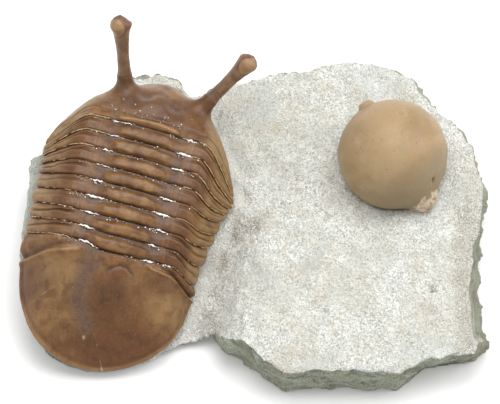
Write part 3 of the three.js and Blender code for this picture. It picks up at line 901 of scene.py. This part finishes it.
# (joint from the front, hand, girth where it starts, girth where it ends, thickness)
SLIVERS = (
    (0, 1, 8.2, 12.2, 0.26), (1, 1, 7.8, 11.8, 0.42), (2, 1, 7.8, 11.0, 0.36),
    (3, 1, 9.2, 10.4, 0.2), (4, 1, 6.8, 11.0, 0.3), (5, 1, 6.0, 10.6, 0.34),
    (6, 1, 6.4, 10.6, 0.32), (7, 1, 6.2, 10.4, 0.28), (8, 1, 6.4, 9.6, 0.34),
    (8, 1, 11.2, 14.0, 0.24), (0, -1, 3.4, 9.4, 0.24), (1, -1, 4.8, 9.6, 0.22),
    (2, -1, 6.0, 9.8, 0.26), (3, -1, 6.2, 10.2, 0.22), (4, -1, 6.6, 10.4, 0.3),
    (5, -1, 5.6, 10.4, 0.36), (6, -1, 6.0, 10.6, 0.34), (7, -1, 6.0, 10.6, 0.34),
    (8, -1, 4.4, 9.6, 0.36), (8, -1, 10.4, 15.6, 0.22))
for joint, hand, start, end, thickness in SLIVERS:
    count = int((end - start) / 0.42)
    for i in range(count + 1):
        share = i / count
        reach = lerp(start, end, share)
        chance = hashed(joint, hand * 3, i)
        size = thickness * math.sin(math.pi * lerp(0.08, 0.92, share)) * (0.3 + 0.62 * chance)
        s = joint_at(joint) - 0.12 + 0.3 * (hashed(i, joint, hand) - 0.5)
        place = (s, hand, reach, joint_lift(reach) - 0.15)
        string_grain(slivers, place, 0.4, size, 0.9, joint * 31 + i, 2)
for i in range(JOINT_GLINTS):
    joint = int(hashed(i, 1, 2) * (SEGMENT_COUNT + 1))
    r = lerp(-14.5, 14.5, hashed(i, 3, 4))
    s = joint_at(joint) - 0.15 - 0.75 * hashed(i, 5, 6) ** 2
    size = 0.08 + 0.12 * hashed(i, 7, 8) ** 3
    add_grain(slivers, back(s, r, joint_lift(abs(r)) - 0.05), size, UNSTRETCHED, i)
for i in range(HEAD_GLINTS):
    low, high = (63.0, 66.0) if i < NECK_GLINTS else (66.0, 72.0)
    s = lerp(low, high, hashed(i, 9, 1))
    r = lerp(-10.5, 9.5, hashed(i, 9, 2))
    lift = head_surface(s, r, 0.5)[0]
    size = 0.08 + 0.14 * hashed(i, 9, 3) ** 2
    add_grain(slivers, back(s, r, lift), size, UNSTRETCHED, i + 300)
painted_joint_glints = finish_mesh(slivers, "painted_joint_glints", GLINT_WHITE)
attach(painted_joint_glints, "root")


# ---- Cream calcite threads ----
# Along the flanks the joints are filled with thin threads of cream calcite, drawn out and
# bunched together towards the tips, unbroken near the head and beaded near the tail.

CREAM_CALCITE = filling_and_glint_material(
    "cream_calcite", (0.4, 0.2, 0.2, 0.3), 1.2, (140, 112, 76), (186, 162, 122))

threads = bmesh.new()
# (joint from the front, hand, girth where it starts, girth where it ends, share that is there)
THREADS = (
    (0, -1, 10.0, 29.0, 0.9), (1, -1, 10.0, 28.6, 0.9), (2, -1, 11.5, 28.2, 0.75),
    (3, -1, 12.0, 26.0, 0.4), (4, -1, 11.0, 24.0, 0.35), (5, -1, 12.0, 25.0, 0.4),
    (6, -1, 11.0, 25.4, 0.45), (7, -1, 12.0, 25.0, 0.5), (8, -1, 13.0, 25.4, 0.6),
    (0, 1, 12.5, 29.0, 0.95), (1, 1, 12.0, 28.6, 0.85), (2, 1, 12.0, 28.4, 0.8),
    (3, 1, 12.0, 28.0, 0.7), (4, 1, 12.0, 27.6, 0.55), (5, 1, 12.0, 26.8, 0.5),
    (6, 1, 12.0, 26.4, 0.45), (7, 1, 11.0, 25.8, 0.45), (8, 1, 14.0, 25.4, 0.6))
for joint, hand, start, end, there in THREADS:
    count = int((end - start) / 0.3)
    for i in range(count + 1):
        reach = lerp(start, end, i / count)
        present = 0.5 + 0.9 * noise.noise(Vector((reach * 0.45, joint * 3.7, hand)))
        if present > there + 0.25 * (hashed(joint, i, hand) - 0.5):
            continue
        lift = lerp(0.16, -0.08, ease(reach, 12.5, 21))
        s = joint_at(joint) - 0.02 + 0.12 * (hashed(i, joint, hand) - 0.5)
        size = (0.08 + 0.05 * hashed(joint, hand, i + 5)) * (1.35 if joint < 4 else 1.0)
        string_grain(threads, (s, hand, reach, lift), 0.3, size, 2.2, joint * 17 + i)
joint_threads = finish_mesh(threads, "joint_threads", CREAM_CALCITE)
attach(joint_threads, "root")


# ---- Cystoid ball ----
# The round theca of a cystoid, a calcite ball of close-set plates, its foot sunk in the stone.
# It keeps its small mouth boss and the broken root of its stem; a faint raised ring near the
# top carries a painted ring-shaped reflection.

BALL_RADIUS = 13.1
BALL_CENTRE = Vector((33.69, 12.65, 18.8))
BOSS = Vector((-0.48, 0.79, 0.37)).normalized()
ROOT = Vector((0.56, -0.75, -0.33)).normalized()
RING_GLINT = Vector((0.145, 0.405, 0.90)).normalized()
CRACK = Vector((0.73, -0.63, 0.245)).normalized()
DENT = Vector((-0.62, -0.05, 0.78)).normalized()
CRACK_WAY = Vector((0.35, 0.1, 0.9))
SHADED_SIDE = Vector((0.55, -0.75, -0.2))


def ball_material():
    material, sh = new_material("tan_calcite", {
        "IOR": 1.5, "Coat Roughness": 0.3, "Subsurface Weight": 0.08,
        "Subsurface Scale": 0.002})
    spot = sh.place((1, 1, 1))
    cloud = sh.cloud(spot, 0.11, 4.0, 0.6, 0.5)
    blotch = sh.cloud(spot, 0.3, 3.0, 0.6, 0.3)
    fine = sh.cloud(spot, 1.5, 3.0, 0.65)
    plates = sh.cells(spot, 0.17, 0, "DISTANCE_TO_EDGE")
    speck = sh.cells(spot, 0.5)
    crust = sh.coats(
        sh.mix(fine.step(0.4, 0.6), rgb(187, 165, 138), rgb(142, 101, 67)),
        (sh.cells(spot, 0.8).step(0.3, 0.6) * 0.7, rgb(193, 183, 160)))
    body = sh.coats(
        sh.mix(cloud.step(0.35, 0.65), rgb(140, 115, 80), rgb(155, 131, 95)),
        (blotch.step(0.48, 0.7) * 0.6, rgb(158, 124, 81)),
        (fine.step(0.5, 0.75) * 0.3, rgb(129, 104, 71)),
        ((1 - plates.step(0.0, 0.05)) * 0.06, rgb(113, 89, 58)),
        (sh.mark("shade") * 0.7, rgb(120, 103, 74)),
        (sh.mark("dark") * 0.9, rgb(68, 65, 41)),
        # pale marks: a pale ring round the dent and the painted ring-shaped reflection near the
        # top
        (sh.mark("pale") * 0.8, rgb(182, 163, 127)),
        (sh.attribute("crust").step(0.2, 0.7), crust),
        ((1 - speck.step(0.05, 0.12)) * 0.6, rgb(90, 69, 44)))
    height = fine * 0.7 + cloud * 0.5 + sh.attribute("crust") * sh.cells(spot, 1.1) * 2.0
    return feed(material, Base_Color=body, Roughness=0.42 + 0.25 * fine,
                Coat_Weight=0.12 + 0.1 * fine, Normal=sh.bump_normal(height, 0.35, 0.0002))


def ball_gap(out, spot):
    """Millimetres between two directions, taken on the ball."""
    return (out - spot).length * BALL_RADIUS


ball = bmesh.new()
ball_layers = mark_layers(ball, ("shade", "dark", "pale", "crust"))
bmesh.ops.create_icosphere(ball, subdivisions=7, radius=1.0)
for vert in ball.verts:
    out = vert.co.normalized()
    from_boss = ball_gap(out, BOSS)
    from_root = ball_gap(out, ROOT)
    boss = 1 - ease(from_boss, 1.1, 2.4)
    cone = 1 - ease(from_root, 0.4, 6.6)
    swell = 1.15 * boss + 2.5 * cone ** 1.5
    crust = 1 - ease(from_root + 1.4 * noise.noise(out * 9), 3.0, 4.8)
    swell += crust * (0.5 * noise.noise(out * 16) + 0.3 * noise.noise(out * 34))
    swell += 0.16 * noise.noise(out * 1.7) + 0.05 * noise.noise(out * 6)
    # a faint raised ring near the top, with a painted ring-shaped reflection on it
    ring_glint = bump(ball_gap(out, RING_GLINT), 1.15, 0.16)
    swell += 0.05 * ring_glint
    from_dent = ball_gap(out, DENT)
    swell -= 0.12 * bump(from_dent, 0, 1.0)
    split = out - CRACK
    crack_run = split.dot(CRACK_WAY)
    crack_off = (split - CRACK_WAY.normalized() * crack_run).length
    crack = bump(crack_off * BALL_RADIUS, 0, 0.4) * bump(crack_run * BALL_RADIUS, 0, 1.8)
    swell -= 0.9 * crack
    swell -= 0.25 * bump(ball_gap(out, (CRACK + ROOT).normalized()), 0, 1.4)
    set_marks(
        vert, ball_layers, crust=crust, shade=ease(out.dot(SHADED_SIDE), 0.1, 0.85),
        dark=0.95 * crack + 0.3 * bump(from_boss, 2.3, 0.5),
        # painted reflection on the raised ring, and a pale ring round the dent
        pale=ring_glint * 0.45 + 0.25 * bump(from_dent, 0.9, 0.5))
    vert.co = (BALL_CENTRE + out * (BALL_RADIUS + swell)) * MM
cystoid = finish_mesh(ball, "cystoid_theca", ball_material())
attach(cystoid, "root")
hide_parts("cystoid")


# ---- Limestone block ----
# The pale granular limestone that the animal lies in. Its top was cleared with needles and
# is rough and white; its sides are fresh grey-green breaks; its base was sawn flat.

def limestone_material():
    material, sh = new_material("limestone", {"IOR": 1.45, "Specular IOR Level": 0.3})
    spot = sh.place((1, 1, 1))
    warp = sh.cloud(spot, 0.6, 2.0, 0.5)
    grains = sh.cells(spot, 2.0, 0, "SMOOTH_F1")
    worm = sh.cloud(spot, 1.15, 3.0, 0.6, 1.4)
    fine = sh.cloud(spot, 3.4, 3.0, 0.7)
    large = sh.cloud(spot, 0.06, 3.0, 0.55, 0.4)
    patchy = sh.cloud(spot, 0.19, 3.0, 0.6)
    cool = sh.cloud(spot, 0.11, 3.0, 0.6, 0.8)
    crumbs = sh.cells(spot, 1.3)
    dots = sh.cells(spot, 0.8)
    strata = sh.cloud(sh.place((0.3, 0.3, 1.5)), 0.7, 4.0, 0.65, 0.4)
    top = sh.coats(
        sh.mix(worm.step(0.36, 0.58), rgb(182, 183, 174), rgb(242, 243, 237)),
        (grains.step(0.3, 0.7) * 0.35, rgb(174, 173, 162)),
        (fine.step(0.54, 0.66) * 0.65, rgb(138, 140, 130)),
        (fine.step(0.49, 0.37) * 0.8, rgb(250, 251, 246)),
        (large.step(0.45, 0.62) * 0.35, rgb(188, 184, 168)),
        (patchy.step(0.5, 0.66) * 0.35, rgb(198, 186, 164)),
        (cool.step(0.5, 0.64) * 0.4, rgb(196, 200, 196)),
        ((1 - crumbs.step(0.16, 0.28)) * warp.step(0.44, 0.54) * 0.7, rgb(162, 144, 114)),
        ((1 - dots.step(0.08, 0.18)) * warp.step(0.5, 0.6) * 0.75, rgb(108, 106, 98)))
    side = sh.coats(
        sh.mix(fine.step(0.38, 0.62), rgb(126, 132, 116), rgb(182, 187, 171)),
        (strata.step(0.5, 0.62) * 0.65, rgb(172, 174, 154)),
        (strata.step(0.5, 0.36) * 0.5, rgb(92, 94, 82)),
        (patchy.step(0.5, 0.7) * 0.45, rgb(156, 146, 120)))
    body = sh.coats(
        sh.mix(sh.attribute("broken").step(0.25, 0.75), top, side),
        (sh.mark("stain") * (0.25 + 0.7 * fine.step(0.42, 0.58)), rgb(122, 106, 86)),
        (sh.mark("shade") * 0.35, rgb(149, 149, 144)),
        (sh.mark("white") * 0.4, rgb(226, 226, 219)))
    height = worm * 0.8 + fine * 0.7 + grains * 0.6
    return feed(material, Base_Color=body, Roughness=0.82 + 0.12 * fine,
                Normal=sh.bump_normal(height, 0.85, 0.0008))


VOXEL = 0.5
WALL_REACH = 3.2  # how far outside the margin the bed's wall starts
RAY_START = 60
MARGIN_STEPS = 44  # round the head and round the tail
FLANK_STEPS = 16
# (hand, joint, next joint, length beyond the joint, half width, roundness) of head and tail
MARGINS = (
    (1, BODY_STATIONS[2], BODY_STATIONS[1], HEAD_LENGTH - 0.6, FRONT_GIRTH, HEAD_ROUNDNESS),
    (-1, BODY_STATIONS[1], BODY_STATIONS[2], 0.6 - TAIL_LENGTH, REAR_GIRTH, TAIL_ROUNDNESS))


def margin_stations():
    """(s, r) all round the margin of the animal."""
    spots = []
    for hand, joint, next_joint, length, girth, roundness in MARGINS:
        for i in range(MARGIN_STEPS):
            turn = math.pi * (i + 0.5) / MARGIN_STEPS
            across, ahead = hand * math.cos(turn), math.sin(turn)
            radius = (abs(across) ** roundness + ahead ** roundness) ** (-1 / roundness)
            spots.append((joint + length * radius * ahead, girth * radius * across))
        for i in range(FLANK_STEPS + 1):
            s = lerp(joint, next_joint, i / FLANK_STEPS)
            spots.append((s, -hand * half_girth(s)))
    return spots


def close_bed(bm, block):
    """Joins a wall of stone to the block, up against the margin of the shell all round."""
    loops = [[], [], [], []]
    for s, r in margin_stations():
        edge = back(s, r, -0.9)
        inner = back(s, r * 0.93, -SHELL - 0.4)
        middle = back(clamp(s, 14, 70), 0, 0)
        out = Vector((edge.x - middle.x, edge.y - middle.y, 0)).normalized()
        outer = Vector((edge.x, edge.y, 0)) + out * WALL_REACH
        above = Vector((outer.x, outer.y, RAY_START))
        hit = block.ray_cast(above * MM, Vector((0, 0, -1)))[0]
        level = hit.z / MM if hit else 0.0
        if level < 1.5:
            outer = Vector((edge.x, edge.y, 0)) - out * 2.0
            level = max(0.6, edge.z - 1.6)
        top = min(level, edge.z + 0.6)
        inner_top = min(inner.z - 0.2, max(top, 1.0))
        loops[0].append(Vector((outer.x, outer.y, 0.02)))
        loops[1].append(Vector((outer.x, outer.y, max(level - 0.05, 0.4))))
        loops[2].append(Vector((inner.x, inner.y, max(inner_top, 0.4))))
        loops[3].append(Vector((inner.x, inner.y, 0.02)))
    rings = []
    for loop in loops:
        verts = bmesh.ops.create_circle(bm, segments=len(loop), radius=1.0)["verts"]
        for vert, place in zip(verts, loop):
            vert.co = place * MM
        rings.append([edge for edge in bm.edges
                      if edge.verts[0] in verts and edge.verts[1] in verts])
    for i in range(4):
        bmesh.ops.bridge_loops(bm, edges=rings[i] + rings[(i + 1) % 4])


def rough_block():
    """The block as one fine mesh: CAD block and bed wall fused."""
    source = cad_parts["matrix"]
    bm = bmesh.new()
    bm.from_mesh(source.data)
    bmesh.ops.remove_doubles(bm, verts=bm.verts[:], dist=1e-6)
    close_bed(bm, BVHTree.FromBMesh(bm))
    bmesh.ops.recalc_face_normals(bm, faces=bm.faces[:])
    mesh = bpy.data.meshes.new("limestone_rough")
    bm.to_mesh(mesh)
    bm.free()
    rough = bpy.data.objects.new("limestone_rough", mesh)
    bpy.context.scene.collection.objects.link(rough)
    remesh = rough.modifiers.new("fuse", "REMESH")
    remesh.mode = "VOXEL"
    remesh.voxel_size = VOXEL * MM
    bpy.context.view_layer.update()
    graph = bpy.context.evaluated_depsgraph_get()
    fused = bpy.data.meshes.new_from_object(rough.evaluated_get(graph))
    bpy.data.objects.remove(rough)
    return fused


BLOCK_EXTENT = [(low / MM, high / MM) for low, high in zip(*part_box("matrix"))]

fused = rough_block()
stone = bmesh.new()
stone.from_mesh(fused)
for _ in range(3):
    bmesh.ops.smooth_vert(stone, verts=[v for v in stone.verts if v.co.z > 0.35 * MM],
                          factor=0.5, use_axis_x=True, use_axis_y=True, use_axis_z=True)
stone.normal_update()
stone_layers = mark_layers(stone, ("broken", "stain", "shade", "white"))
stations = margin_stations()
margin = kdtree.KDTree(len(stations))
for i, (s, r) in enumerate(stations):
    point = back(s, r, 0)
    margin.insert((point.x, point.y, 0), i)
margin.balance()
# (strength, x, y, width) of the brownish stains and of the grey patches on the top
STAINS = ((0.9, -8.0, -10.0, 3.0), (0.7, -4.5, -4.0, 2.6), (0.8, -3.0, 0.5, 2.2),
          (0.8, 1.0, -2.5, 2.4), (0.5, -12.0, -22.5, 3.4), (0.9, 43.2, -20.0, 1.2),
          (0.6, -8.8, -27.5, 3.0))
SHADES = ((0.7, -6, 16, 5), (0.35, 2, 0, 7), (0.6, 22, 18, 4), (0.35, 12, -14, 6),
          (0.5, 34, -2.5, 6), (0.8, -10, -32, 3.5))
moves = []
for vert in stone.verts:
    place = vert.co / MM
    normal = vert.normal
    broken = 1 - ease(normal.z, 0.35, 0.75)
    chips = noise.hetero_terrain(place * 0.22, 0.6, 2.2, 5, 0.6) - 0.9
    ledge = noise.noise(Vector((place.x * 0.09, place.y * 0.09, place.z * 0.55)))
    coarse = noise.noise(place * 0.16)
    fine = noise.noise(place * 0.9) * 0.6 + noise.noise(place * 1.9) * 0.4
    pits = min(0.0, noise.noise(place * 0.45 + Vector((9, 4, 2)))) * 0.5
    chunk = noise.voronoi(place * 0.2, distance_metric="DISTANCE")[0]
    jag = 1.3 * (chunk[1] - chunk[0]) + 0.9 * noise.noise(place * 0.24)
    jag += 0.35 * noise.noise(place * 0.7)
    jag *= 1 - 0.4 * ease(place.x, 46, 50)
    push = broken * (0.55 * chips + 1.1 * ledge + jag - 0.6)
    push += (1 - broken) * (0.8 * coarse + 0.2 * chips + 0.35 * noise.noise(place * 0.34))
    push += 0.2 * fine + (1 - broken) * 0.5 * pits
    push -= 1.2 * broken * ease(-place.x, 44, 47)
    off = margin.find((place.x, place.y, 0))[2]
    push *= lerp(0.35, 1.0, ease(off, 0.5, 3.0))
    held = ease(place.z, 0.1, 1.0)
    level = Vector((normal.x, normal.y, normal.z * (1 if place.z > 1 else 0)))
    moves.append(level * (push * held))
    sliver = 0.55 * ease(-place.x, 46, 49)
    tan_side = ease(place.x, 46, 50) * ease(10 - place.y, 0, 12)
    stain = clamp(patches(STAINS, place.x, place.y) * (1 + 0.8 * fine) - 0.6 * broken)
    shade = patches(SHADES, place.x, place.y) - 0.2 - 0.5 * pits
    set_marks(
        vert, stone_layers, broken=clamp(max(broken, sliver) + 0.25 * coarse),
        stain=max(stain, 0.45 * tan_side), shade=clamp(shade),
        white=bump(off, 1.5, 1.5) * (1 - broken))
for vert, move in zip(stone.verts, moves):
    place = vert.co / MM + move
    if vert.co.z < 0.3 * MM:
        place.z = 0.0
    limits = [clamp(value, low, high) for value, (low, high) in zip(place, BLOCK_EXTENT)]
    vert.co = Vector(limits) * MM
limestone = finish_mesh(stone, "limestone_block", limestone_material())
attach(limestone, "root")
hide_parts("matrix")


# ---- Floor, light and camera ----
# A pale matt sweep under the specimen, lit evenly from all sides by large soft boxes.

LIGHT_AIM = Vector((0, 0, 0.01))


def pale_floor():
    bm = bmesh.new()
    bmesh.ops.create_grid(bm, x_segments=1, y_segments=1, size=3.0)
    material = new_material("studio_floor", {
        "Base Color": (0.93, 0.93, 0.93, 1), "Roughness": 0.9, "Specular IOR Level": 0.1})[0]
    floor = finish_mesh(bm, "studio_floor", material, smooth=False)
    floor.location.z = -0.0002  # just clear of the sawn base


def soft_box(name, place, size, power):
    """A square soft light, its place and size in metres and its power in watts."""
    light = bpy.data.lights.new(name, "AREA")
    light.shape = "SQUARE"
    light.size = size
    light.energy = power
    lamp = bpy.data.objects.new(name, light)
    lamp.location = place
    lamp.rotation_mode = "QUATERNION"
    lamp.rotation_quaternion = (LIGHT_AIM - Vector(place)).to_track_quat("-Z", "Y")
    bpy.context.scene.collection.objects.link(lamp)


pale_floor()
soft_box("box_top", (0.05, 0.25, 0.9), 0.7, 6.4)
soft_box("box_left", (-0.8, -0.1, 0.6), 0.6, 1.0)
soft_box("box_right", (0.75, 0.1, 0.65), 0.6, 4.0)
world = bpy.data.worlds.new("studio")
world.use_nodes = True
surround = world.node_tree.nodes["Background"]
surround.inputs["Color"].default_value = (1.0, 1.0, 1.0, 1)
surround.inputs["Strength"].default_value = 0.75
bpy.context.scene.world = world
bpy.context.scene.view_settings.view_transform = "Standard"

CAMERA_AIM = Vector((-0.41, 8.95, 0)) * MM
CAMERA_DISTANCE = 2.5
CAMERA_HEIGHT = math.radians(65)
PICTURE_WIDTH = 0.12
camera_data = bpy.data.cameras.new("camera")
camera_data.sensor_width = 36.0
camera_data.lens = 36.0 * CAMERA_DISTANCE / PICTURE_WIDTH
camera_data.clip_start = 0.1
camera = bpy.data.objects.new("camera", camera_data)
camera_way = Vector((0, -math.cos(CAMERA_HEIGHT), math.sin(CAMERA_HEIGHT)))
camera.location = CAMERA_AIM + camera_way * CAMERA_DISTANCE
camera.rotation_mode = "QUATERNION"
camera.rotation_quaternion = (-camera_way).to_track_quat("-Z", "Y")
bpy.context.scene.collection.objects.link(camera)
bpy.context.scene.camera = camera
